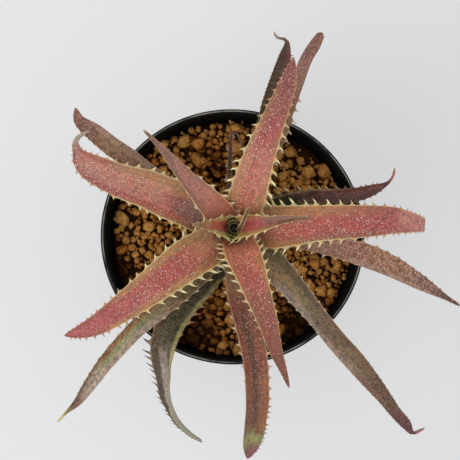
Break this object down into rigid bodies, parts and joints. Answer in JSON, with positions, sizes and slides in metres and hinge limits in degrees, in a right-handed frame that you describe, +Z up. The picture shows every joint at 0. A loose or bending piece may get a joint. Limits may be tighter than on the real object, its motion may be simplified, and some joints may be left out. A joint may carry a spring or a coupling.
{
  "type": "potted orthophytum hybrid bromeliad",
  "caption": "Spiny red and olive rosette bromeliad with long arching leaves, on a short stem in baked-clay grains, in a round black nursery pot.",
  "frame": {"origin": "centre of the pot's flat underside", "axes": "+Z up out of the pot, +X towards the broad red leaf that lies to the right seen from above, +Y towards the upright pair of dark and red leaves at the far side"},
  "size_m": [0.167, 0.1789, 0.1381],
  "materials": {
    "pot_plastic": "satin black moulded plastic with dust and light scuffs",
    "baked_clay_grains": "dry porous orange-brown baked clay",
    "stem_bark": "pale green-brown caudex",
    "leaf_rose": "rose-red leathery leaf with pale scurf and cream spines",
    "leaf_crimson": "crimson young leaf with pale scurf",
    "leaf_mauve": "mauve-brown young leaf with pale scurf",
    "leaf_olive": "olive-brown old leaf with grey netted scurf",
    "leaf_brown": "brown-pink old leaf with grey netted scurf",
    "leaf_dark": "dark green-purple old leaf with grey scurf"
  },
  "bodies": {
    "root": {"pot": "pot_plastic", "soil": "baked_clay_grains", "stem": "stem_bark", "leaf_heart_folded": "leaf_mauve", "leaf_inner_east": "leaf_crimson", "leaf_inner_west": "leaf_crimson", "leaf_young_northwest": "leaf_mauve", "leaf_broad_south": "leaf_rose", "leaf_broad_north": "leaf_rose", "leaf_broad_southwest": "leaf_rose", "leaf_broad_east": "leaf_rose", "leaf_broad_west": "leaf_rose", "leaf_long_southeast": "leaf_olive", "leaf_narrow_northeast": "leaf_brown", "leaf_long_southwest": "leaf_olive", "leaf_long_east": "leaf_brown", "leaf_lower_northwest": "leaf_brown", "leaf_hanging_south": "leaf_brown", "leaf_dark_east": "leaf_dark", "leaf_dark_north": "leaf_dark", "leaf_hanging_southwest": "leaf_dark", "leaf_small_north": "leaf_brown"}
  },
  "joints": []
}
